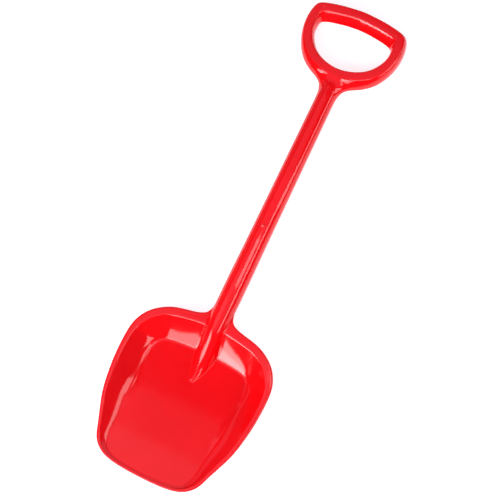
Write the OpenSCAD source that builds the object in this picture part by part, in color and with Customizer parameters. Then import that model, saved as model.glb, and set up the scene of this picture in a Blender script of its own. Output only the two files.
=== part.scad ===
// Toy sand shovel: a moulded pan with a hollow spine, a tubular shaft and a
// two-shell D grip. It lies on its back, hollow side up, heel and grip on z = 0.

/* [Blade] */
// Width of the blade across its shoulders
blade_w = 154; // [120:1:190]
// Length of the blade from its shoulder to the cutting edge
blade_l = 174.5; // [150:0.5:200]
// Depth of the floor below the shaft axis at the heel
heel_drop = 12.5; // [10:0.5:16]
// Height of the cutting edge above the shaft axis
tip_rise = 25; // [18:1:34]
// Wall thickness of the pan, measured upright
pan_t = 2.8; // [2.4:0.1:4]

/* [Shaft] */
// Length of the shaft between the neck and the grip
shaft_l = 214; // [160:1:260]
// Diameter of the shaft at the blade
shaft_d0 = 21.4; // [20:0.2:24]
// Diameter of the shaft at the grip
shaft_d1 = 19.2; // [19:0.2:22]
// Diameter of the tang and of the grip's spigot
tang_d = 14; // [12:0.5:15]
// Length of the tang and of the grip's spigot
tang_l = 32; // [24:1:34]
// Wall thickness of the tube
tube_t = 3.2; // [2.6:0.1:3.4]

/* [Grip] */
// Width of the D grip over its outer edges
grip_w = 105.5; // [96:0.5:116]
// Height of the D grip, from the end of the shaft to the top
grip_l = 98.5; // [92:0.5:106]
// Thickness of the grip, front to back
grip_t = 19; // [17:0.5:22]
// Wall thickness of the two grip shells
grip_wall = 2.6; // [2:0.1:3]

/* [Pins] */
// Diameter of the two lock pins
pin_d = 4; // [3:0.5:5]
// Length of the two lock pins
pin_l = 14; // [12:0.5:15]

/* [Hidden] */

$fn = 64;
red = "#e0121c";
dark_red = "#c40f18";

neck_l = 12;                     // neck of the blade above the shoulder
axis_r = shaft_d0 / 2;
seam_y = neck_l;                 // joint of neck and shaft
grip_y = neck_l + shaft_l;       // joint of shaft and grip
top_y = grip_y + grip_l;         // top of the grip
heel_q = 0.26 * blade_l;         // heel line, below the shoulder
heel_cut = 0.9;                  // depth of the flat under the heel
rest_drop = heel_drop + pan_t - heel_cut;
bar_y = grip_y + 0.977 * grip_l; // where the back of the grip's top bar rests
rest_tilt = atan((rest_drop - grip_t / 2) / (bar_y + heel_q));

// Shovel frame (shaft along y, shoulder at y = 0) to resting frame.
mid_y = (top_y * cos(rest_tilt) - (blade_l * cos(rest_tilt) - tip_rise * sin(rest_tilt))) / 2;
module lie() {
    translate([0, -mid_y, rest_drop * cos(rest_tilt) - heel_q * sin(rest_tilt)])
        rotate([-rest_tilt, 0, 0]) children();
}

// ---------- curves ----------
function mix(a, b, u) = a + (b - a) * u;
function clamp01(u) = max(0, min(1, u));
function ease(u) = let (v = clamp01(u)) v * v * (3 - 2 * v);
function ramp(x, x0, x1) = clamp01((x - x0) / (x1 - x0));
function catmull(a, b, c, d, u) =
    0.5 * ((2 * b) + (c - a) * u + (2 * a - 5 * b + 4 * c - d) * u * u
           + (3 * b - a - 3 * c + d) * u * u * u);
// Open curve through the points p, n steps per span.
function through(p, n) = let (m = len(p) - 1) concat(
    [for (i = [0 : m - 1], j = [0 : n - 1])
        catmull(p[max(0, i - 1)], p[i], p[i + 1], p[min(m, i + 2)], j / n)],
    [p[m]]);

// ---------- blade ----------
// Right half of the blade at matching stations, for a blade of 154 by 174.5:
// x from the middle, distance below the shoulder.
// Outer edge
edge_line = [
    [0, 0], [5.5, 0], [11, 1], [12.7, 5], [17.3, 9.4], [34.6, 14], [50, 18.5],
    [64, 27.5], [71.5, 37], [75.5, 47], [77, 64.5], [76.2, 84], [74.3, 99.5],
    [70.5, 118], [65, 133.5], [59, 148.5], [53.5, 160.5], [44, 168.7], [31, 172.8],
    [15.5, 174.2], [0, 174.5]];
// Inner edge of the lip
lip_line = [
    [0, 19.2], [4, 19.2], [8, 19.2], [12, 19.4], [18, 19.8], [34, 22.4], [48, 26.4],
    [59.5, 34.6], [66, 43], [69.8, 51], [71.8, 66], [71.5, 84], [70, 99],
    [66.8, 117], [61.8, 132.3], [56.2, 147.2], [51, 158.8], [42.2, 166.8], [30, 170.8],
    [15, 172.2], [0, 172.5]];
// Foot of the wall, where the floor begins
floor_line = [
    [0, 45], [4, 45], [8, 45], [12, 45], [18, 45.3], [29, 46], [38.5, 47.2],
    [45, 48.8], [49.3, 52.3], [51.3, 58], [52.3, 70], [52.7, 85], [52.6, 99],
    [52, 116.5], [51.2, 131.5], [49.8, 146], [47.2, 157], [40.5, 164.8], [29, 168.5],
    [14.5, 170], [0, 170.3]];
function scaled(line) = [for (p = through(line, 3)) [p[0] * blade_w / 154, p[1] * blade_l / 174.5]];
half_edge = scaled(edge_line);
half_lip = scaled(lip_line);
half_floor = scaled(floor_line);
T = len(half_edge) - 1;          // steps along one half
N = 2 * T;                       // steps all round
rings_wall = 6;
rings_floor = 5;
R = 1 + rings_wall + rings_floor;

function side_pt(line, t) = t <= T ? line[t] : [-line[N - t][0], line[N - t][1]];
function mid_pt(t) = [0, mix(0.44, 0.8, (t <= T ? t : N - t) / T) * blade_l];

function rim_z(q) = mix(1, tip_rise, q / blade_l);
function floor_z(q) = let (f = (q - heel_q) / (blade_l - heel_q))
    mix(-heel_drop, tip_rise - 0.3, 0.85 * f + 0.15 * f * abs(f));

// Point of the pan's upper face: step t round the edge, ring i from the rim inward.
function pan_pt(t, i) = let (
    p = side_pt(half_edge, t), a = side_pt(half_lip, t), b = side_pt(half_floor, t), m = mid_pt(t))
    i == 0 ? [p[0], -p[1], rim_z(p[1])]
    : i <= 1 + rings_wall ? let (
        u = (i - 1) / rings_wall, c = mix(a, b, u), s = 1 - pow(1 - u, 1.4))
        [c[0], -c[1], mix(rim_z(a[1]), floor_z(b[1]), s)]
    : let (u = (i - 1 - rings_wall) / rings_floor, c = mix(b, m, u))
        [c[0], -c[1], floor_z(c[1])];

layer = R * N + T + 1;           // points in one face of the pan
function ix(i, t) = let (k = t % N) i < R ? i * N + k : R * N + (k <= T ? k : N - k);
pan_top = concat(
    [for (i = [0 : R - 1], t = [0 : N - 1]) pan_pt(t, i)],
    [for (t = [0 : T]) pan_pt(t, R)]);
pan_points = concat(pan_top, [for (p = pan_top) p - [0, 0, pan_t]]);
pan_faces = concat(
    [for (i = [0 : R - 1], t = [0 : N - 1]) each
        let (a = ix(i, t), b = ix(i, t + 1), c = ix(i + 1, t + 1), d = ix(i + 1, t))
        c == d ? [[a, b, c]] : [[a, b, c], [a, c, d]]],
    [for (i = [0 : R - 1], t = [0 : N - 1]) each
        let (a = ix(i, t) + layer, b = ix(i, t + 1) + layer,
             c = ix(i + 1, t + 1) + layer, d = ix(i + 1, t) + layer)
        c == d ? [[c, b, a]] : [[c, b, a], [d, c, a]]],
    [for (t = [0 : N - 1]) each
        let (a = ix(0, t), b = ix(0, t + 1)) [[b, a, a + layer], [b, a + layer, b + layer]]]);
module pan() { polyhedron(pan_points, pan_faces, convexity = 8); }

// Spine: oval sections that turn from the round neck into a low ridge on the floor.
spine_q = [for (k = [0 : 20]) mix(0, 72, k / 20)];
spine_n = 28;
spine_r = axis_r + 0.15;
function spine_w(q) = mix(spine_r, 2.2, pow(ramp(q, 43, 72.5), 1.8));
function spine_mid(q) = q < heel_q ? mix(0, floor_z(heel_q), ease(ramp(q, 4, heel_q))) : floor_z(q);
function spine_up(q) = mix(spine_r, floor_z(72) + 1.5, ease(ramp(q, 6, 75))) - spine_mid(q);
function spine_down(q) = mix(spine_r, 1.3, ease(ramp(q, 4, heel_q)));
function oval(q) = let (w = spine_w(q), m = spine_mid(q))
    [for (k = [0 : spine_n - 1]) let (a = 360 * k / spine_n, r = sin(a) > 0 ? spine_up(q) : spine_down(q))
        [w * cos(a), -q, m + r * sin(a)]];
module spine() {
    m = spine_n;
    s = len(spine_q);
    polyhedron([for (q = spine_q) each oval(q)], concat(
        [[for (k = [0 : m - 1]) k]],
        [[for (k = [m - 1 : -1 : 0]) (s - 1) * m + k]],
        [for (j = [0 : s - 2], k = [0 : m - 1]) each
            let (a = j * m + k, b = j * m + (k + 1) % m, c = b + m, d = a + m)
            [[a, c, b], [a, d, c]]]), convexity = 4);
}

// Round bar along the shaft axis between two stations.
module bar(y0, y1, d0, d1) {
    translate([0, y0, 0]) rotate([-90, 0, 0]) cylinder(h = y1 - y0, d1 = d0, d2 = d1);
}
// Pin or pin hole that rises from the underside of the bar at station y.
module upright_pin(y, low, high, d) {
    translate([0, y, low]) cylinder(h = high - low, d = d, $fn = 32);
}

blade_pin_y = -4;
grip_pin_y = grip_y - 14;
blade_pin_low = -axis_r + 0.8;
grip_pin_low = -mix(shaft_d0, shaft_d1, 1 - 14 / shaft_l) / 2 + 0.4;

module blade() {
    color(red) difference() {
        lie() difference() {
            union() {
                pan();
                spine();
                bar(-2.5, seam_y, shaft_d0, shaft_d0);
            }
            bar(seam_y - tang_l, seam_y + 1, tang_d, tang_d);
            upright_pin(blade_pin_y, -20, 0, pin_d);
        }
        translate([-blade_w, -blade_l * 2, -20]) cube([blade_w * 2, blade_l * 3, 20]);
    }
}

// ---------- shaft ----------
module shaft() {
    bore = shaft_d1 / 2 - tube_t;
    color(red) lie() difference() {
        translate([0, seam_y, 0]) rotate([-90, 0, 0]) rotate_extrude()
            polygon([[0, -tang_l], [tang_d / 2 - 1, -tang_l], [tang_d / 2, -tang_l + 1],
                     [tang_d / 2, 0], [shaft_d0 / 2, 0], [shaft_d1 / 2, shaft_l],
                     [tang_d / 2, shaft_l], [tang_d / 2, shaft_l - tang_l],
                     [bore, shaft_l - tang_l - 3], [bore, 8], [0, 8]]);
        upright_pin(blade_pin_y, -20, blade_pin_low + pin_l, pin_d);
        upright_pin(grip_pin_y, -20, 0, pin_d);
    }
}

// ---------- grip ----------
// Right half of the loop for a grip of 105.5 by 98.5, height above the shaft's end:
// inner edge x and y, outer edge x and y, inner and outer border of the flat top
// (-1 is the inner edge of the bar, 1 the outer edge), and the shape between the
// flat top and the inner and outer edge (0 round, 1 sloping).
loop = [
    [0, 36.2, 0, 18.9, -0.75, 0.05, 0, 1], [9.4, 37.3, 12, 20, -0.75, 0.05, 0, 1],
    [19.2, 40.6, 23.3, 23.7, -0.7, 0.08, 0, 1], [28.9, 46.9, 37.1, 33, -0.65, 0.15, 0, 0.7],
    [34.4, 53.6, 45.1, 43.8, -0.6, 0.25, 0, 0.3], [38, 60.2, 49.9, 55.2, -0.6, 0.32, 0, 0],
    [39.4, 66.5, 52.2, 67, -0.6, 0.35, 0, 0], [39, 70.8, 52.1, 76.7, -0.5, 0.4, 0.2, 0],
    [38.1, 73.2, 50.6, 84.3, -0.4, 0.5, 0.5, 0], [36.8, 74.5, 48.9, 88.3, -0.25, 0.6, 0.8, 0],
    [35.7, 75.2, 47, 90.5, -0.18, 0.65, 1, 0], [34.1, 75.9, 44.4, 92, -0.12, 0.7, 1, 0],
    [29, 77.4, 36.2, 94.2, -0.1, 0.75, 1, 0], [20, 79, 24, 96.5, -0.1, 0.75, 1, 0],
    [9.4, 80.3, 10.5, 97.9, -0.1, 0.75, 1, 0], [0, 80.7, 0, 98.5, -0.1, 0.75, 1, 0]];
loop_sx = grip_w / 105.5;
loop_sy = grip_l / 98.5;
loop_half = through([for (p = loop)
    [p[0] * loop_sx, grip_y + p[1] * loop_sy, p[2] * loop_sx, grip_y + p[3] * loop_sy, p[4], p[5], p[6], p[7]]], 2);
loop_n = 2 * (len(loop_half) - 1);
function loop_pt(t) = let (k = (t + loop_n) % loop_n, h = len(loop_half) - 1, p = loop_half[k <= h ? k : loop_n - k])
    k <= h ? p : [-p[0], p[1], -p[2], p[3], p[4], p[5], p[6], p[7]];
sec_n = 5;
// Quarter of a bar section, angle a from the edge to the flat top; side 1 is outer, -1 inner.
function sec_pt(a, side, p) = let (
    u = side > 0 ? p[5] : p[4], slope = clamp01(side > 0 ? p[7] : p[6]),
    c = (1 - side * u) * pow(cos(a), 2 / mix(2, 1.17, slope)), z = pow(sin(a), 2 / mix(2, 1.3, slope)))
    [u + side * c, z];
// Half-ring section of a grip shell at step t of the loop.
function loop_sec(t) = let (
    p = loop_pt(t), m = [p[0] + p[2], p[1] + p[3]] / 2, e = [p[2] - p[0], p[3] - p[1]] / 2,
    h = grip_t / 2, f = 1 - grip_wall / norm(e),
    up = concat([for (k = [0 : sec_n]) sec_pt(90 * k / sec_n, 1, p)],
                [for (k = [sec_n : -1 : 0]) sec_pt(90 * k / sec_n, -1, p)]))
    concat(
        [for (v = up) [m[0] + e[0] * v[0], m[1] + e[1] * v[0], h * v[1]]],
        [for (k = [len(up) - 1 : -1 : 0]) let (v = up[k])
            [m[0] + e[0] * v[0] * f, m[1] + e[1] * v[0] * f, (h - grip_wall) * v[1]]]);
module loop_shell() {
    m = 4 * (sec_n + 1);
    polyhedron([for (t = [0 : loop_n - 1]) each loop_sec(t)],
        [for (t = [0 : loop_n - 1], k = [0 : m - 1]) each
            let (a = t * m + k, b = t * m + (k + 1) % m,
                 c = ((t + 1) % loop_n) * m + (k + 1) % m, d = ((t + 1) % loop_n) * m + k)
            [[a, b, c], [a, c, d]]], convexity = 8);
}
// Flare that widens the round stem into the loop.
flare_y = grip_y + 0.13 * grip_l;
flare_r = 9.5;
flare_n = 12;
function flare_w(u) = shaft_d1 / 2 + 0.1 + flare_r * (1 - sqrt(1 - u * u));
function flare_sec(y, u) = [for (k = [0 : flare_n]) let (a = 180 * k / flare_n)
    [flare_w(u) * cos(a), y, mix(shaft_d1 / 2 + 0.05, grip_t / 2 - 0.1, u) * sin(a)]];
flare_rows = concat(
    [for (k = [0 : 8]) let (u = sin(11 * k)) flare_sec(flare_y + flare_r * u, u)],
    [flare_sec(flare_y + flare_r + 4, 1)]);
module flare() {
    m = flare_n + 1;
    s = len(flare_rows);
    polyhedron([for (r = flare_rows) each r], concat(
        [[for (k = [m - 1 : -1 : 0]) k]],
        [[for (k = [0 : m - 1]) (s - 1) * m + k]],
        [for (j = [0 : s - 2], k = [0 : m - 1]) each
            let (a = j * m + k, b = j * m + (k + 1) % m, c = b + m, d = a + m)
            [[a, b, c], [a, c, d]]]), convexity = 4);
}
pegs = [[0.49, 0.876], [-0.49, 0.876], [0.85, 0.7], [-0.85, 0.7]];

// One shell with z up: half loop, half stem, half spigot and bosses.
module grip_half() {
    loop_shell();
    intersection() {
        union() {
            bar(grip_y, flare_y + 2, shaft_d1, shaft_d1);
            bar(grip_y - tang_l + 2, grip_y, tang_d, tang_d);
        }
        translate([-grip_w, 0, 0]) cube([grip_w * 2, top_y, grip_t]);
    }
    flare();
    for (p = pegs) translate([p[0] * grip_w / 2, grip_y + p[1] * grip_l, 0])
        cylinder(h = grip_t / 2 - 1.4, d = 7, $fn = 32);
}
module peg_set(d, h) {
    for (p = pegs) translate([p[0] * grip_w / 2, grip_y + p[1] * grip_l, -h])
        cylinder(h = 2 * h, d = d, $fn = 32);
}

module grip_front() {
    color(red) lie() difference() {
        grip_half();
        peg_set(3.6, 4);
        upright_pin(grip_pin_y, -20, grip_pin_low + pin_l, pin_d);
    }
}
module grip_back() {
    color(red) lie() difference() {
        union() {
            mirror([0, 0, 1]) grip_half();
            peg_set(3.6, 3.6);
        }
        upright_pin(grip_pin_y, -20, 1, pin_d);
    }
}

// ---------- pins ----------
module lock_pins() {
    color(dark_red) lie() {
        upright_pin(blade_pin_y, blade_pin_low, blade_pin_low + pin_l, pin_d);
        upright_pin(grip_pin_y, grip_pin_low, grip_pin_low + pin_l, pin_d);
    }
}

blade();
shaft();
grip_front();
grip_back();
lock_pins();
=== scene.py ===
import math

import bmesh
import bpy
import numpy as np
from mathutils import Matrix, Vector


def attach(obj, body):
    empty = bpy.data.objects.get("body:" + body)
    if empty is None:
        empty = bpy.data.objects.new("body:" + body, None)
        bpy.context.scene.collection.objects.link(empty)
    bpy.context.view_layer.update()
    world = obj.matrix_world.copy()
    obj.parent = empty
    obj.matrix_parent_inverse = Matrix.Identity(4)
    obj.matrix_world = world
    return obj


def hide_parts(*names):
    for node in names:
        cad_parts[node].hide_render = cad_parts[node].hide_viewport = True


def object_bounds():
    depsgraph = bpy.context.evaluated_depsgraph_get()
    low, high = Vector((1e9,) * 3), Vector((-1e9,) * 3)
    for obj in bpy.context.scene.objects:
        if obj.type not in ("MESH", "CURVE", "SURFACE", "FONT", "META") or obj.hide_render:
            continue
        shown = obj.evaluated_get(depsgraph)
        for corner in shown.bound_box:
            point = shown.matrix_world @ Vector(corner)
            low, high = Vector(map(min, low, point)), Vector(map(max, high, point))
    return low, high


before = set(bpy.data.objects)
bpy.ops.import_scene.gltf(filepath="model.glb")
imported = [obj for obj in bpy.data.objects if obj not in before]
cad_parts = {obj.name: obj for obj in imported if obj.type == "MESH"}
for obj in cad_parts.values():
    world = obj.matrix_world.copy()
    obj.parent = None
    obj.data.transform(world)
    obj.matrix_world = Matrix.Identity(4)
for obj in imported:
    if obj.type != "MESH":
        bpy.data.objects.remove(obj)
cad_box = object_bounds()
scene = bpy.context.scene

# ---------------------------------------------------------------------------
# Shovel frame, in mm: shaft along +y, shoulder of the blade at y = 0, z up out
# of the hollow, q = -y below the shoulder. lie() brings it to the row frame.
# ---------------------------------------------------------------------------
L = 174.5            # blade length
TIP = 25.0           # height of the cutting edge
HEEL_DROP = 12.5
HEEL = 0.26 * L
PAN_T = 2.8
SEAM = 12.0          # joint of neck and shaft
GRIP_Y = 226.0       # joint of shaft and grip
GRIP_L = 98.5
GRIP_W = 105.5
GRIP_T = 19.0
REST_DROP = HEEL_DROP + PAN_T - 0.9
TILT = math.atan((REST_DROP - GRIP_T / 2) / (GRIP_Y + 0.977 * GRIP_L + HEEL))
CT, ST = math.cos(TILT), math.sin(TILT)
MID_Y = ((GRIP_Y + GRIP_L) * CT - (L * CT - TIP * ST)) / 2
LIFT = REST_DROP * CT - HEEL * ST


def lie(p):
    """Shovel frame in mm to row frame in metres."""
    p = np.asarray(p, float)
    return np.stack([p[..., 0],
                     p[..., 1] * CT + p[..., 2] * ST - MID_Y,
                     -p[..., 1] * ST + p[..., 2] * CT + LIFT], -1) / 1000.0


def lie_dir(v):
    v = np.asarray(v, float)
    return np.stack([v[..., 0], v[..., 1] * CT + v[..., 2] * ST, -v[..., 1] * ST + v[..., 2] * CT], -1)


# ---------------------------------------------------------------------------
# Camera
# ---------------------------------------------------------------------------
def rot(axis, deg):
    return np.array(Matrix.Rotation(math.radians(deg), 3, axis))


VIEW = rot("Z", -25.55) @ rot("X", -4.80) @ rot("Y", -12.45)
EYE = VIEW.T @ np.array([25.23, 58.87, 1158.29])
cam_data = bpy.data.cameras.new("camera")
cam_data.sensor_width = 36.0
cam_data.lens = 86.4
cam_data.clip_start = 0.05
cam_data.clip_end = 30.0
cam = bpy.data.objects.new("camera", cam_data)
scene.collection.objects.link(cam)
axes = lie_dir(VIEW)                      # rows: camera x, y, z in the row frame
m = Matrix.Identity(4)
for c in range(3):
    for r in range(3):
        m[r][c] = axes[c][r]
eye = lie(EYE)
for r in range(3):
    m[r][3] = eye[r]
cam.matrix_world = m
scene.camera = cam


# ---------------------------------------------------------------------------
# Curves
# ---------------------------------------------------------------------------
def clamp01(u):
    return np.clip(u, 0.0, 1.0)


def ease(u):
    u = clamp01(u)
    return u * u * (3 - 2 * u)


def ramp(x, a, b):
    return clamp01((x - a) / (b - a))


def mix(a, b, u):
    return a + (b - a) * u


def smax(a, b, k):
    """Smooth maximum with a fillet of about k."""
    k = np.maximum(k, 1e-6)
    h = clamp01(0.5 + 0.5 * (a - b) / k)
    return mix(b, a, h) + k * h * (1 - h)


def smin(a, b, k):
    return -smax(-a, -b, k)


class Curve:
    """Smooth curve (continuous curvature) through points at given parameters."""

    def __init__(self, s, p):
        self.s = s = np.asarray(s, float)
        self.p = p = np.asarray(p, float)
        n = len(s)
        h = np.diff(s)
        a = np.eye(n)
        r = np.zeros_like(p)
        for i in range(1, n - 1):
            a[i, i - 1], a[i, i], a[i, i + 1] = h[i - 1], 2 * (h[i - 1] + h[i]), h[i]
            r[i] = 6 * ((p[i + 1] - p[i]) / h[i] - (p[i] - p[i - 1]) / h[i - 1])
        self.m = np.linalg.solve(a, r)

    def at(self, t, d=0):
        t = np.asarray(t, float)
        i = np.clip(np.searchsorted(self.s, t, side="right") - 1, 0, len(self.s) - 2)
        h = (self.s[i + 1] - self.s[i])[..., None]
        b = ((t - self.s[i]))[..., None] / h
        a = 1 - b
        m0, m1, p0, p1 = self.m[i], self.m[i + 1], self.p[i], self.p[i + 1]
        if d == 0:
            return a * p0 + b * p1 + ((a ** 3 - a) * m0 + (b ** 3 - b) * m1) * h * h / 6
        if d == 1:
            return (p1 - p0) / h + (-(3 * a * a - 1) * m0 + (3 * b * b - 1) * m1) * h / 6
        return a * m0 + b * m1


def axis_r(y):
    """Radius of the neck and the shaft along the axis."""
    y = np.asarray(y, float)
    line = 10.7 - 1.1 * clamp01((y - SEAM) / (GRIP_Y - SEAM))
    return line + 0.28 * np.exp(-((y - 32.0) / 24.0) ** 2)


# ---------------------------------------------------------------------------
# Mesh helpers
# ---------------------------------------------------------------------------
def make_piece(name, verts_mm, faces, flat_faces=(), normals=None):
    """Mesh object from points of the shovel frame; flat_faces keep sharp borders."""
    me = bpy.data.meshes.new(name)
    me.from_pydata([tuple(v) for v in lie(verts_mm)], [], faces)
    me.update()
    ob = bpy.data.objects.new(name, me)
    scene.collection.objects.link(ob)
    me.polygons.foreach_set("use_smooth", [True] * len(me.polygons))
    if len(flat_faces):
        flat = set(flat_faces)
        side = {}
        for p in me.polygons:
            for e in p.edge_keys:
                side.setdefault(e, []).append(p.index in flat)
        sharp = np.zeros(len(me.edges), bool)
        for e in me.edges:
            s = side.get(tuple(sorted(e.vertices)), [])
            sharp[e.index] = len(s) == 2 and s[0] != s[1]
        att = me.attributes.new("sharp_edge", "BOOLEAN", "EDGE")
        att.data.foreach_set("value", sharp)
    me.validate()
    return ob


def clean(ob, dist=2e-7):
    bm = bmesh.new()
    bm.from_mesh(ob.data)
    bmesh.ops.remove_doubles(bm, verts=bm.verts, dist=dist)
    bmesh.ops.dissolve_degenerate(bm, edges=bm.edges, dist=dist)
    bmesh.ops.recalc_face_normals(bm, faces=bm.faces)
    for e in bm.edges:
        e.smooth = not (len(e.link_faces) == 2 and e.calc_face_angle(0.0) > math.radians(40))
    bm.to_mesh(ob.data)
    bm.free()
    ob.data.update()


def pin_hole(ob, y, d=4.3, high=-9.4):
    """Round recess from below for the end of a lock pin."""
    n = 48
    ring = [(d / 2 * math.cos(2 * math.pi * k / n), y + d / 2 * math.sin(2 * math.pi * k / n)) for k in range(n)]
    v = [(a, b, -18.0) for a, b in ring] + [(a, b, high) for a, b in ring]
    f = [tuple(range(n - 1, -1, -1)), tuple(range(n, 2 * n))]
    f += [(k, (k + 1) % n, n + (k + 1) % n, n + k) for k in range(n)]
    tool = make_piece("cutter", np.array(v), f)
    mod = ob.modifiers.new("hole", "BOOLEAN")
    mod.operation = "DIFFERENCE"
    mod.solver = "EXACT"
    mod.object = tool
    bpy.context.view_layer.update()
    me = bpy.data.meshes.new_from_object(ob.evaluated_get(bpy.context.evaluated_depsgraph_get()))
    ob.modifiers.clear()
    old = ob.data
    ob.data = me
    me.name = ob.name
    bpy.data.meshes.remove(old)
    tm = tool.data
    bpy.data.objects.remove(tool)
    bpy.data.meshes.remove(tm)
    me.polygons.foreach_set("use_smooth", [True] * len(me.polygons))
    clean(ob)


# ---------------------------------------------------------------------------
# Blade: pan, lip, spine and neck as one skin
# ---------------------------------------------------------------------------
R0 = float(axis_r(2.0))      # neck radius where the pan starts
Q0 = -2.0
EDGE = [(11, -6), (R0, -2), (12.7, 5), (17.3, 9.4), (34.6, 14), (50, 18.5), (64, 27.5), (71.5, 37),
        (75.5, 47), (77, 64.5), (76.2, 84), (74.3, 99.5), (70.5, 118), (65, 133.5), (59, 148.5),
        (53.5, 160.5), (44, 168.7), (31, 172.8), (15.5, 174.2), (0, 174.5), (-15.5, 174.2), (-31, 172.8)]
LIP = [(10.8, 19.1), (12.65, 19.2), (14.5, 19.35), (18, 19.8), (34, 22.4), (48, 26.4), (59.5, 34.6), (66, 43),
       (69.8, 51), (71.8, 66), (71.5, 84), (70, 99), (66.8, 117), (61.8, 132.3), (56.2, 147.2),
       (51, 158.8), (42.2, 166.8), (30, 170.8), (15, 172.2), (0, 172.5), (-15, 172.2), (-30, 170.8)]
FOOT = [(10.8, 45), (12.65, 45), (14.5, 45.1), (18, 45.3), (29, 46), (38.5, 47.2), (44.6, 49.2), (48.6, 53),
        (51.6, 58.5), (52.4, 68), (51.4, 81), (50.0, 98), (48.6, 116.5), (47.6, 131.5), (46.4, 146),
        (44.5, 156.6), (39.5, 164.6), (29, 168.5), (14.5, 170), (0, 170.3), (-14.5, 170), (-29, 168.5)]


def rim_z(q):
    return mix(1.0, TIP, q / L)


def floor_z(q):
    f = (q - HEEL) / (L - HEEL)
    return mix(-HEEL_DROP, TIP - 0.3, 0.85 * f + 0.15 * f * np.abs(f))


def spine_w(q):
    return mix(R0, 2.2, ramp(q, 43, 72.5) ** 1.8)


def spine_mid(q):
    return np.where(q < HEEL, mix(0, floor_z(HEEL), ease(ramp(q, 4, HEEL))), floor_z(q))


def spine_up(q):
    return mix(R0, floor_z(72.0) + 1.5, ease(ramp(q, 6, 75))) - spine_mid(q)


def spine_down(q):
    return mix(R0, 1.3, ease(ramp(q, 4, HEEL)))


def spine_top(x, q):
    """Round at the neck, then a ridge with a narrower crest on the floor."""
    w = spine_w(q)
    u = np.abs(x) / w
    crest = ease(ramp(q, 42, 58))
    a, c = mix(2.0, 1.5, crest), mix(2.0, 1.55, crest)
    z = spine_mid(q) + spine_up(q) * np.maximum(0, 1 - u ** a) ** (1 / c) - 3.0 * w * np.maximum(0, u - 1)
    return z - 2.5 * np.maximum(0, q - 73.0)


def spine_low(x, q):
    w = spine_w(q)
    u = np.abs(x) / w
    return (spine_mid(q) - spine_down(q) * np.sqrt(np.maximum(0, 1 - u * u)) + 3.0 * w * np.maximum(0, u - 1)
            + 2.5 * np.maximum(0, q - 60.0))


def blade_columns():
    """Plan points of every column (edge, lip, foot, middle) of the right half."""
    edge, lip, foot = (np.array(v, float) for v in (EDGE, LIP, FOOT))
    chord = sum(np.linalg.norm(np.diff(v, axis=0), axis=1) for v in (edge, lip, foot)) / 3
    s = np.concatenate([[0], np.cumsum(chord ** 0.75)])
    ts = []
    for i in range(1, 19):
        big = max(np.linalg.norm(v[i + 1] - v[i]) for v in (edge, lip, foot))
        n = max(3, int(math.ceil(big / (0.8 if i < 6 else 1.3))))
        ts.append(s[i] + (s[i + 1] - s[i]) * np.arange(n) / n)
    ts = np.concatenate(ts + [[s[19]]])
    b = [Curve(s, v).at(ts) for v in (edge, lip, foot)]
    th = np.radians(np.linspace(0, 90, 41))[:-1]
    a = [np.stack([r * np.sin(th), np.full_like(th, q)], 1) for r, q in ((R0, Q0), (12.65, 19.2), (12.65, 45.0))]
    e, l, f = (np.concatenate([x, y]) for x, y in zip(a, b))
    for v in (e, l, f):
        v[0, 0] = 0.0
        v[-1, 0] = 0.0
    n = len(e)
    mid = np.stack([np.zeros(n), mix(0.57, 0.8, np.arange(n) / (n - 1)) * L], 1)
    return e, l, f, mid, len(th)


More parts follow.
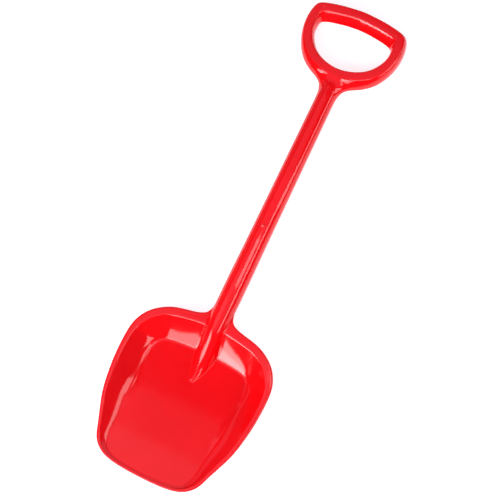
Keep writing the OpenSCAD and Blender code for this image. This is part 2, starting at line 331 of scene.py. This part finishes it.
def build_blade():
    e, l, f, mid, nA = blade_columns()
    T = len(e) - 1
    N = 2 * T
    l1 = np.linalg.norm(l - e, axis=1)
    l2 = np.linalg.norm(f - l, axis=1)
    l3 = np.linalg.norm(mid - f, axis=1)

    def plan(w):
        """Plan point at distance w along each column; w is (rows, columns)."""
        a = w / l1
        b = (w - l1) / l2
        c = (w - l1 - l2) / l3
        out = np.where((a < 1)[..., None], mix(e, l, a[..., None]),
                       np.where((b < 1)[..., None], mix(l, f, b[..., None]), mix(f, mid, c[..., None])))
        return out

    zl, zf = rim_z(l[:, 1]), floor_z(f[:, 1])
    wall_pow = mix(1.2, 1.35, ease(ramp(f[:, 1], 48, 60)))

    def plate_z(q):
        return rim_z(q) * ease(ramp(q, Q0, 8.0))

    def raw_z(w):
        p = plan(w)
        u = clamp01((w - l1) / l2)
        wall = mix(zl, zf, 1 - (1 - u) ** wall_pow)
        return np.where(w < l1, plate_z(p[..., 1]), np.where(w < l1 + l2, wall, floor_z(p[..., 1])))

    ks = np.linspace(-2, 2, 17)
    kw = np.exp(-0.5 * ks ** 2)
    kw /= kw.sum()

    def pan_z(w):
        near = ramp(w, l1 + 0.25 * l2, l1 + 0.75 * l2)
        q = f[:, 1]
        foot = 0.9 + 1.5 * ease(ramp(q, 52, 58)) * (1 - ease(ramp(q, 70, 78))) + 3.5 * ease(ramp(q, 77, 103))
        foot = mix(foot, 0.4, ease(ramp(q, 104, 134)))
        sig = np.minimum(mix(0.55, foot, near), 0.2 * l2)
        return sum(g * raw_z(w + k * sig) for k, g in zip(ks, kw))

    thick = PAN_T * ease(ramp(e[:, 1], Q0, 7.0))
    rho = np.minimum(2.4, 0.45 * l1) * thick / PAN_T      # rolled outer edge of the lip
    rise = np.minimum(rho, 0.62 * thick)
    under = 0.16 * thick
    for v in (rho, rise, under):
        v[:nA + 1] = 0.0

    def rows(first, n1, n2, n3):
        out = [mix(first, l1, u) for u in 1 - (1 - np.linspace(0, 1, n1 + 1)) ** 1.6]
        out += [l1 + l2 * u for u in (0.5 - 0.5 * np.cos(np.pi * np.linspace(0, 1, n2 + 1)))[1:]]
        out += [l1 + l2 + l3 * u for u in (np.linspace(0, 1, n3 + 1) ** 1.2)[1:]]
        return np.array(out)

    def top_of(w):
        p = plan(w)
        x, q = p[..., 0], p[..., 1]
        z = pan_z(w)
        k = 3.0 * ease(ramp(q, Q0, 9.0))
        return p, smax(z, spine_top(x, q), k)

    def low_of(w):
        p = plan(w)
        x, q = p[..., 0], p[..., 1]
        th = PAN_T * ease(ramp(q, Q0, 7.0))
        z = pan_z(w) - th
        k = 4.0 * ease(ramp(q, Q0, 9.0))
        return p, smin(z, spine_low(x, q), k)

    verts, faces = [], []

    def add(x, q, z):
        verts.append((x, -q, z))
        return len(verts) - 1

    def face_grid(w, surf):
        """Vertex indices (rows, N) of one face of the pan; the last row lies on the middle line."""
        p, z = surf(w)
        idx = np.zeros((len(w), N), int)
        for i in range(len(w)):
            for t in range(T + 1):
                k = add(p[i, t, 0], p[i, t, 1], z[i, t])
                idx[i, t % N] = k
                if 0 < t < T:
                    idx[i, N - t] = k if i == len(w) - 1 else add(-p[i, t, 0], p[i, t, 1], z[i, t])
        return idx, p, z

    top, tp, tz = face_grid(rows(rho, 7, 30, 56), top_of)
    low, lp, lz = face_grid(rows(under, 5, 16, 20), low_of)

    def quads(idx, flip):
        for i in range(len(idx) - 1):
            for t in range(N):
                a, b, c, d = idx[i, t], idx[i, (t + 1) % N], idx[i + 1, (t + 1) % N], idx[i + 1, t]
                q = [a, b, c, d] if c != d else [a, b, c]
                faces.append(tuple(q[::-1]) if flip else tuple(q))

    quads(top, False)
    quads(low, True)

    # Rounded rim outside the neck.
    inward = (l - e) / l1[:, None]
    rim_rows = []
    for deg, upper in ((78, 1), (66, 1), (54, 1), (42, 1), (30, 1), (15, 1), (0, 1), (0, 0), (-30, 0), (-60, 0)):
        a = math.radians(deg)
        pl = e + inward * ((rho if upper else under) * (1 - math.cos(a)))[:, None]
        z = (tz[0] - rise * (1 - math.sin(a))) if upper else (lz[0] + under * (1 + math.sin(a)))
        row = np.zeros(N, int)
        for t in range(nA, T + 1):
            row[t % N] = add(pl[t, 0], pl[t, 1], z[t])
            if 0 < t < T:
                row[N - t] = add(-pl[t, 0], pl[t, 1], z[t])
        rim_rows.append(row)
    strip = [top[0]] + rim_rows + [low[0]]
    for i in range(len(strip) - 1):
        for t in range(nA, N - nA):
            faces.append((strip[i][t], strip[i + 1][t], strip[i + 1][(t + 1) % N], strip[i][(t + 1) % N]))

    # Neck: rings from the pan to the joint with the shaft.
    order = [(top[0, t], t, 1) for t in range(0, nA + 1)] + [(low[0, t], t, -1) for t in range(nA - 1, -1, -1)]
    order += [(low[0, N - t], -t, -1) for t in range(1, nA)] + [(top[0, N - t], -t, 1) for t in range(nA, 0, -1)]
    ring = [o[0] for o in order]
    ang = [math.radians(90.0 * abs(t) / nA) for _, t, _ in order]
    for y in np.linspace(2.0, SEAM, 9)[1:]:
        r = float(axis_r(y))
        new = [add(math.copysign(1, t) * r * math.sin(a), -y, sgn * r * math.cos(a))
               for (_, t, sgn), a in zip(order, ang)]
        for j in range(len(ring)):
            k = (j + 1) % len(ring)
            faces.append((ring[j], new[j], new[k], ring[k]))
        ring = new
    cap = len(faces)
    faces.append(tuple(ring))
    v = np.array(verts)
    ob = make_piece("blade_skin", v, faces)
    # Flat under the heel, on the surface that the shovel lies on.
    for vert in ob.data.vertices:
        if vert.co.z < 0.0:
            vert.co.z = 0.0
    clean(ob)
    return ob


blade = build_blade()
pin_hole(blade, -4.0)


# ---------------------------------------------------------------------------
# Shaft: tapered round bar with the slanted stub of the moulding gate on its front
# ---------------------------------------------------------------------------
GATE_X, GATE_Y, GATE_R, GATE_SLOPE = 0.9, 89.7, 0.85, 0.68


def build_shaft():
    fine = np.arange(-1.5, 1.51, 0.15) / 10.0 + GATE_X / 10.0
    turn = 2 * math.pi * np.arange(128) / 128
    turn = np.where(turn > math.pi, turn - 2 * math.pi, turn)
    turn = np.sort(np.concatenate([turn[(turn < fine[0] - 0.02) | (turn > fine[-1] + 0.02)], fine]))
    n = len(turn)
    ys = np.concatenate([np.linspace(SEAM, 60, 60), np.linspace(60, GRIP_Y, 110)[1:]])
    ys = np.concatenate([ys[ys < GATE_Y - 2.1], np.linspace(GATE_Y - 2, GATE_Y + 2, 21), ys[ys > GATE_Y + 2.1]])
    verts, faces = [], []
    for y in ys:
        r = float(axis_r(y))
        for k in range(n):
            a = float(turn[k])
            off = math.hypot(r * a - GATE_X, y - GATE_Y)
            top = max(0.1, 0.1 + GATE_SLOPE * (y - GATE_Y + GATE_R))
            h = r + top * (1 - float(ease(ramp(off, GATE_R, GATE_R + 0.35))))
            verts.append((h * math.sin(a), y, h * math.cos(a)))
    for j in range(len(ys) - 1):
        for k in range(n):
            a, b = j * n + k, j * n + (k + 1) % n
            faces.append((a, a + n, b + n, b))
    faces.append(tuple(range(n)))
    faces.append(tuple((len(ys) - 1) * n + k for k in range(n - 1, -1, -1)))
    ob = make_piece("shaft_skin", np.array(verts), faces)
    clean(ob)
    return ob


shaft = build_shaft()
pin_hole(shaft, GRIP_Y - 14, high=-9.0)

# ---------------------------------------------------------------------------
# Grip: closed loop with flattened bars, widened into the round stem
# ---------------------------------------------------------------------------
# Right half of the loop, height above the shaft's end: inner edge x and y, outer edge
# x and y, inner and outer border of the flat top (-1 inner edge of the bar, 1 outer edge),
# and the shape between the flat top and the inner and outer edge (0 round, 1 sloping).
LOOP = [(0, 36.2, 0, 18.9, -0.75, 0.05, 0, 1), (9.4, 37.3, 12, 20, -0.75, 0.05, 0, 1),
        (19.2, 40.6, 23.3, 23.7, -0.7, 0.08, 0, 1), (28.9, 46.9, 37.1, 33, -0.65, 0.15, 0, 0.7),
        (34.4, 53.6, 45.1, 43.8, -0.6, 0.25, 0, 0.3), (38, 60.2, 49.9, 55.2, -0.6, 0.32, 0, 0),
        (39.4, 66.5, 52.2, 67, -0.6, 0.35, 0, 0), (39, 70.8, 52.1, 76.7, -0.5, 0.4, 0.2, 0),
        (38.1, 73.2, 50.6, 84.3, -0.4, 0.5, 0.5, 0), (36.8, 74.5, 48.9, 88.3, -0.25, 0.6, 0.8, 0),
        (35.7, 75.2, 47, 90.5, -0.18, 0.65, 1, 0), (34.1, 75.9, 44.4, 92, -0.12, 0.7, 1, 0),
        (29, 77.4, 36.2, 94.2, -0.1, 0.75, 1, 0), (20, 79, 24, 96.5, -0.1, 0.75, 1, 0),
        (9.4, 80.3, 10.5, 97.9, -0.1, 0.75, 1, 0), (0, 80.7, 0, 98.5, -0.1, 0.75, 1, 0)]


class Grip:
    """Closed bar between two outlines, joined to the round stem."""

    def __init__(self):
        half = [(a, GRIP_Y + b, c, GRIP_Y + d, *k) for a, b, c, d, *k in LOOP]
        ring = np.array(half + [(-a, b, -c, d, *k) for a, b, c, d, *k in half[-2:0:-1]])
        n = len(ring)
        tiled = np.concatenate([ring, ring, ring, ring[:1]])
        step = (np.linalg.norm(np.diff(tiled[:, :2], axis=0), axis=1)
                + np.linalg.norm(np.diff(tiled[:, 2:4], axis=0), axis=1)) ** 0.75
        s = np.concatenate([[0], np.cumsum(step)])
        self.curve = Curve(s, tiled)
        self.a, self.b = s[n], s[2 * n]
        self.ts = np.linspace(self.a, self.b, 900, endpoint=False)
        m, e = self.frame(self.ts)[:2]
        self.m, self.e = m, e

    def frame(self, t, d=0):
        """Middle and half-width vector of the bar at t, or their first derivatives."""
        c = self.curve.at(t, d)
        return (c[:, 0:2] + c[:, 2:4]) / 2, (c[:, 2:4] - c[:, 0:2]) / 2, c[:, 4:]

    def nearest(self, p):
        best = np.zeros(len(p))
        ee = (self.e ** 2).sum(1)
        for i in range(0, len(p), 10000):
            r = p[i:i + 10000, None, :] - self.m[None]
            u = np.clip((r * self.e).sum(-1) / ee, -1.25, 1.25)
            d = ((r - u[..., None] * self.e[None]) ** 2).sum(-1)
            best[i:i + 10000] = self.ts[d.argmin(1)]
        return best

    def refine(self, p, t):
        for _ in range(5):
            m, e = self.frame(t)[:2]
            dm, de = self.frame(t, 1)[:2]
            r = p - m
            f = r[:, 0] * e[:, 1] - r[:, 1] * e[:, 0]
            df = -(dm[:, 0] * e[:, 1] - dm[:, 1] * e[:, 0]) + (r[:, 0] * de[:, 1] - r[:, 1] * de[:, 0])
            big = np.abs(df) > 0.15 * np.linalg.norm(dm, axis=1) * np.linalg.norm(e, axis=1)
            t = t - np.where(big, np.clip(f / np.where(big, df, 1.0), -0.6, 0.6), 0.0)
        return t

    def plan(self, p, t):
        """Slope coordinate of the bar (0 on the flat top, 1 at an edge), its powers, and the stem."""
        m, e, k = self.frame(t)
        u_in, u_out = k[:, 0], k[:, 1]
        w = np.linalg.norm(e, axis=1)
        u = ((p - m) * e).sum(1) / (w * w)
        outer = u > (u_in + u_out) / 2
        span = np.where(outer, 1 - u_out, 1 + u_in)
        v = np.where(outer, u - u_out, u_in - u) / span
        slope = clamp01(np.where(outer, k[:, 3], k[:, 2]))
        v = mix(np.maximum(0, v), 0.5 * (v + np.sqrt(v * v + 0.012)), slope)
        y = p[:, 1]
        r = axis_r(np.minimum(y, GRIP_Y))
        high = mix(r, GRIP_T / 2 - 0.5, ease(ramp(y, GRIP_Y + 2, GRIP_Y + 18)))
        high = high - 1.8 * ease(ramp(y, GRIP_Y + 15, GRIP_Y + 27))
        pa = mix(2.0, np.where(outer, 1.2, 1.02), slope)
        pb = mix(2.0, np.where(outer, 1.7, 1.06), slope)
        return v, pa, pb, span * w, p[:, 0] / r, high, y - (GRIP_Y + 29)

    @staticmethod
    def value(v, a, b, w, sx, high, past, z):
        """Signed field in mm, negative inside."""
        h = GRIP_T / 2
        k = np.maximum((np.maximum(v, 1e-9) ** a + (np.abs(z) / h) ** b), 1e-9)
        bar = (k ** (1 / np.maximum(a, b)) - 1) * np.minimum(w, h)
        stem = np.maximum((np.sqrt(sx ** 2 + (z / high) ** 2) - 1) * high, past)
        return smin(bar, stem, mix(2.4, 11.0, clamp01(1 - (z / h) ** 2)))

    def field(self, p3, t):
        p = p3[:, :2]
        t = self.refine(p, t)
        return self.value(*self.plan(p, t), p3[:, 2])


def surface_net(f, origin, step):
    """Quads on the zero surface of the samples f (negative inside)."""
    inside = f < 0
    nx, ny, nz = f.shape
    cells = np.zeros((nx - 1, ny - 1, nz - 1), int)
    for a in (0, 1):
        for b in (0, 1):
            for c in (0, 1):
                cells += inside[a:nx - 1 + a, b:ny - 1 + b, c:nz - 1 + c]
    active = (cells > 0) & (cells < 8)
    idx = np.full(active.shape, -1)
    ijk = np.argwhere(active)
    idx[active] = np.arange(len(ijk))
    acc = np.zeros((len(ijk), 3))
    cnt = np.zeros(len(ijk))
    corners = [(a, b, c) for a in (0, 1) for b in (0, 1) for c in (0, 1)]
    for p in corners:
        for ax in range(3):
            if p[ax]:
                continue
            q = list(p)
            q[ax] = 1
            fp = f[ijk[:, 0] + p[0], ijk[:, 1] + p[1], ijk[:, 2] + p[2]]
            fq = f[ijk[:, 0] + q[0], ijk[:, 1] + q[1], ijk[:, 2] + q[2]]
            cross = (fp < 0) != (fq < 0)
            u = np.where(cross, fp / np.where(cross, fp - fq, 1), 0)
            pos = np.repeat(np.array(p, float)[None], len(ijk), 0)
            pos[:, ax] += u
            acc += pos * cross[:, None]
            cnt += cross
    verts = origin + step * (ijk + acc / cnt[:, None])
    faces = []
    for ax in range(3):
        o = [a for a in range(3) if a != ax]
        sl0, sl1 = [slice(None)] * 3, [slice(None)] * 3
        sl0[ax], sl1[ax] = slice(0, -1), slice(1, None)
        for a in o:
            sl0[a] = sl1[a] = slice(1, -1)
        i0, i1 = inside[tuple(sl0)], inside[tuple(sl1)]
        for sel, flip in ((i0 & ~i1, False), (~i0 & i1, True)):
            e = np.argwhere(sel)
            e[:, o[0]] += 1
            e[:, o[1]] += 1
            quad = []
            for da, db in ((-1, -1), (0, -1), (0, 0), (-1, 0)):
                c = e.copy()
                c[:, o[0]] += da
                c[:, o[1]] += db
                quad.append(idx[c[:, 0], c[:, 1], c[:, 2]])
            quad = np.stack(quad, 1)
            if flip != (ax == 1):
                quad = quad[:, ::-1]
            faces.append(quad)
    return verts, np.concatenate(faces)


def build_grip():
    g = Grip()
    step = 0.6
    xs = np.arange(-93, 94) * step
    ys = GRIP_Y - 4.3 + np.arange(0, int(109 / step)) * step
    zs = (np.arange(-18, 18) + 0.5) * step
    gx, gy = np.meshgrid(xs, ys, indexing="ij")
    p = np.stack([gx.ravel(), gy.ravel()], 1)
    t = g.refine(p, g.nearest(p))
    pl = [a.reshape(gx.shape)[..., None] for a in g.plan(p, t)]
    f = g.value(*pl, zs[None, None, :])
    v, q = surface_net(f, np.array([xs[0], ys[0], zs[0]]), step)
    t = g.nearest(v[:, :2])

    def grad(v):
        e = 0.01
        out = np.zeros_like(v)
        for a in range(3):
            d = np.zeros(3)
            d[a] = e
            out[:, a] = (g.field(v + d, t) - g.field(v - d, t)) / (2 * e)
        return out

    on_plane = np.abs(v[:, 2]) < 1e-6
    for _ in range(4):
        gr = grad(v)
        move = (g.field(v, t) / np.maximum((gr ** 2).sum(1), 1e-4))[:, None] * gr
        v = v - np.clip(move, -0.5, 0.5)
        v[on_plane, 2] = 0.0
    nrm = grad(v)
    nrm /= np.linalg.norm(nrm, axis=1)[:, None]
    pieces = []
    for name, sign in (("grip_front_skin", 1), ("grip_back_skin", -1)):
        keep = (v[q][:, :, 2] * sign > -1e-6).all(1)
        faces = q[keep]
        used = np.unique(faces)
        remap = np.full(len(v), -1)
        remap[used] = np.arange(len(used))
        me = bpy.data.meshes.new(name)
        me.from_pydata([tuple(a) for a in v[used]], [], remap[faces].tolist())
        bm = bmesh.new()
        bm.from_mesh(me)
        nl = bm.verts.layers.float_vector.new("n")
        bm.verts.ensure_lookup_table()
        for k, a in enumerate(nrm[used]):
            bm.verts[k][nl] = a
        bmesh.ops.bisect_plane(bm, geom=bm.verts[:] + bm.edges[:] + bm.faces[:], dist=1e-5,
                               plane_co=(0, GRIP_Y, 0), plane_no=(0, 1, 0), clear_inner=True)
        before = set(bm.faces)
        rim = [e for e in bm.edges if e.is_boundary]
        bmesh.ops.triangle_fill(bm, use_beauty=True, edges=rim)
        caps = {fc for fc in bm.faces if fc not in before}
        bmesh.ops.recalc_face_normals(bm, faces=bm.faces)
        bm.faces.ensure_lookup_table()
        bm.verts.ensure_lookup_table()
        coords = np.array([a.co for a in bm.verts])
        normals = []
        for fc in bm.faces:
            fn = fc.normal.copy()
            for lo in fc.loops:
                a = Vector(lo.vert[nl])
                normals.append(fn if fc in caps or a.length < 0.5 else a)
        fl = [[a.index for a in fc.verts] for fc in bm.faces]
        bm.free()
        bpy.data.meshes.remove(me)
        ob = make_piece(name, coords, fl)
        ob.data.normals_split_custom_set([tuple(a) for a in lie_dir(np.array([tuple(a) for a in normals]))])
        pieces.append(ob)
    return pieces


grip_front, grip_back = build_grip()


# No skin stands outside the box of the construction.
for piece in (blade, shaft, grip_front, grip_back):
    for vert in piece.data.vertices:
        for k in range(3):
            vert.co[k] = min(max(vert.co[k], cad_box[0][k]), cad_box[1][k])

# ---------------------------------------------------------------------------
# Materials
# ---------------------------------------------------------------------------
def plastic(name, dark, light):
    mat = bpy.data.materials.new(name)
    mat.use_nodes = True
    nt = mat.node_tree
    nt.nodes.clear()

    def node(kind, **kw):
        n = nt.nodes.new(kind)
        for k, v in kw.items():
            setattr(n, k, v)
        return n

    def noise(scale, detail, rough=0.5):
        n = node("ShaderNodeTexNoise")
        n.inputs["Scale"].default_value = scale
        n.inputs["Detail"].default_value = detail
        n.inputs["Roughness"].default_value = rough
        nt.links.new(co.outputs["Object"], n.inputs["Vector"])
        return n

    def ranged(src, lo, hi, a=0.3, b=0.7):
        n = node("ShaderNodeMapRange")
        n.inputs["From Min"].default_value = a
        n.inputs["From Max"].default_value = b
        n.inputs["To Min"].default_value = lo
        n.inputs["To Max"].default_value = hi
        nt.links.new(src, n.inputs["Value"])
        return n

    out = node("ShaderNodeOutputMaterial")
    bsdf = node("ShaderNodeBsdfPrincipled")
    nt.links.new(bsdf.outputs["BSDF"], out.inputs["Surface"])
    co = node("ShaderNodeTexCoord")

    tone = noise(28, 3)
    tint = node("ShaderNodeValToRGB")
    tint.color_ramp.elements[0].position = 0.32
    tint.color_ramp.elements[0].color = (*dark, 1)
    tint.color_ramp.elements[1].position = 0.68
    tint.color_ramp.elements[1].color = (*light, 1)
    nt.links.new(tone.outputs["Fac"], tint.inputs["Fac"])
    nt.links.new(tint.outputs["Color"], bsdf.inputs["Base Color"])

    gloss = noise(160, 4)
    nt.links.new(ranged(gloss.outputs["Fac"], 0.06, 0.10).outputs["Result"], bsdf.inputs["Roughness"])

    sink = noise(55, 2)
    grain = noise(2400, 2)
    b1 = node("ShaderNodeBump")
    b1.inputs["Strength"].default_value = 0.25
    b1.inputs["Distance"].default_value = 0.00012
    nt.links.new(sink.outputs["Fac"], b1.inputs["Height"])
    b2 = node("ShaderNodeBump")
    b2.inputs["Strength"].default_value = 0.06
    b2.inputs["Distance"].default_value = 0.00002
    nt.links.new(grain.outputs["Fac"], b2.inputs["Height"])
    nt.links.new(b1.outputs["Normal"], b2.inputs["Normal"])
    nt.links.new(b2.outputs["Normal"], bsdf.inputs["Normal"])
    bsdf.inputs["IOR"].default_value = 1.5
    return mat


red = plastic("red_plastic", (0.83, 0.0015, 0.0035), (0.88, 0.0022, 0.0050))
pin_red = plastic("pin_plastic", (0.60, 0.003, 0.006), (0.68, 0.005, 0.010))
for piece in (blade, shaft, grip_front, grip_back):
    piece.data.materials.clear()
    piece.data.materials.append(red)
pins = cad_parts["lock_pins"]
pins.data.materials.clear()
pins.data.materials.append(pin_red)

for piece, node_name in ((blade, "blade"), (shaft, "shaft"), (grip_front, "grip_front"), (grip_back, "grip_back")):
    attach(piece, "root")
    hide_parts(node_name)

# ---------------------------------------------------------------------------
# Stage: pale floor, soft boxes
# ---------------------------------------------------------------------------
me = bpy.data.meshes.new("floor")
S = 4.0
me.from_pydata([(-S, -S, -0.0003), (S, -S, -0.0003), (S, S, -0.0003), (-S, S, -0.0003)], [], [(0, 1, 2, 3)])
floor = bpy.data.objects.new("floor", me)
scene.collection.objects.link(floor)
fm = bpy.data.materials.new("floor_white")
fm.use_nodes = True
fb = fm.node_tree.nodes["Principled BSDF"]
fb.inputs["Base Color"].default_value = (0.6, 0.6, 0.6, 1)
fb.inputs["Roughness"].default_value = 0.9
fb.inputs["Specular IOR Level"].default_value = 0.0
fb.inputs["Emission Color"].default_value = (1, 1, 1, 1)
fb.inputs["Emission Strength"].default_value = 0.74
me.materials.append(fm)

PAN_MID = Vector((0.0, -0.15, 0.02))


def softbox(name, az, el, dist, half_w, half_h, roll, radiance, tint=(1.0, 1.0, 1.0)):
    """Soft box seen from the pan: azimuth from -Y towards +X, elevation, half sizes and roll in degrees."""
    a, e = math.radians(az), math.radians(el)
    out = Vector((math.sin(a) * math.cos(e), -math.cos(a) * math.cos(e), math.sin(e)))
    right = Vector((math.cos(a), math.sin(a), 0.0))      # growing azimuth
    up = right.cross(-out) if right.cross(-out).z > 0 else -right.cross(-out)
    r = math.radians(roll)
    x = right * math.cos(r) + up * math.sin(r)
    z = out
    y = z.cross(x)
    w = 2 * dist * math.tan(math.radians(half_w))
    h = 2 * dist * math.tan(math.radians(half_h))
    d = bpy.data.lights.new(name, "AREA")
    d.shape = "RECTANGLE"
    d.size, d.size_y = w, h
    d.energy = radiance * w * h * math.pi
    d.color = tint
    ob = bpy.data.objects.new(name, d)
    scene.collection.objects.link(ob)
    mw = Matrix.Identity(4)
    pos = PAN_MID + out * dist
    for k in range(3):
        mw[k][0], mw[k][1], mw[k][2], mw[k][3] = x[k], y[k], z[k], pos[k]
    ob.matrix_world = mw
    return ob


def panel(name, centre, facing, size, radiance, tint=(1.0, 1.0, 1.0)):
    """Rectangular panel near the object; facing is the direction it shines in, size is (level, other)."""
    z = -Vector(facing).normalized()
    x = Vector((0.0, 0.0, 1.0)).cross(z)
    x = x.normalized() if x.length > 0.1 else Vector((1.0, 0.0, 0.0))
    y = z.cross(x)
    d = bpy.data.lights.new(name, "AREA")
    d.shape = "RECTANGLE"
    d.size, d.size_y = size
    d.energy = radiance * size[0] * size[1] * math.pi
    d.color = tint
    ob = bpy.data.objects.new(name, d)
    scene.collection.objects.link(ob)
    mw = Matrix.Identity(4)
    for k in range(3):
        mw[k][0], mw[k][1], mw[k][2], mw[k][3] = x[k], y[k], z[k], centre[k]
    ob.matrix_world = mw
    return ob


softbox("window_wide", -15, 43, 2.0, 20, 19, 0, 4.7)
softbox("window_bright", -26, 29.5, 1.0, 7.5, 11.5, 0, 7.3)
softbox("window_bright_side", -42, 33.5, 1.0, 8.5, 8.0, 0, 7.3)
softbox("window_high", -14, 53, 1.9, 12, 9, 0, 3.0)
softbox("side_a", 88, 33, 2.0, 18, 7, 13, 4.4)
softbox("ceiling", 170, 88, 2.2, 38, 23, 0, 0.34, (0.95, 0.97, 1.3))
softbox("fill_left", -112, 25, 2.4, 20, 8, 0, 0.30, (0.95, 0.97, 1.25))
softbox("fill_back", -172, 27, 2.4, 34, 13, 0, 0.62, (0.95, 0.97, 1.25))
panel("front_panel", (-0.07, -0.20, 0.32), (0, 0, -1), (0.18, 0.30), 0.30, (0.97, 0.98, 1.15))
panel("front_panel_wide", (-0.07, -0.175, 0.33), (0, 0, -1), (0.20, 0.35), 0.26, (0.97, 0.98, 1.15))
panel("lens_panel", (0.106, 0.0065, 0.32), (0, 0, -1), (0.172, 0.073), 3.6)
panel("side_panel", (0.42, 0.25, 0.192), (-1, 0, 0), (0.30, 0.095), 4.2)

world = bpy.data.worlds.new("studio")
scene.world = world
world.use_nodes = True
bg = world.node_tree.nodes["Background"]
bg.inputs["Color"].default_value = (0.85, 0.92, 1.2, 1)
bg.inputs["Strength"].default_value = 0.10
scene.view_settings.view_transform = "Standard"

bpy.context.view_layer.update()
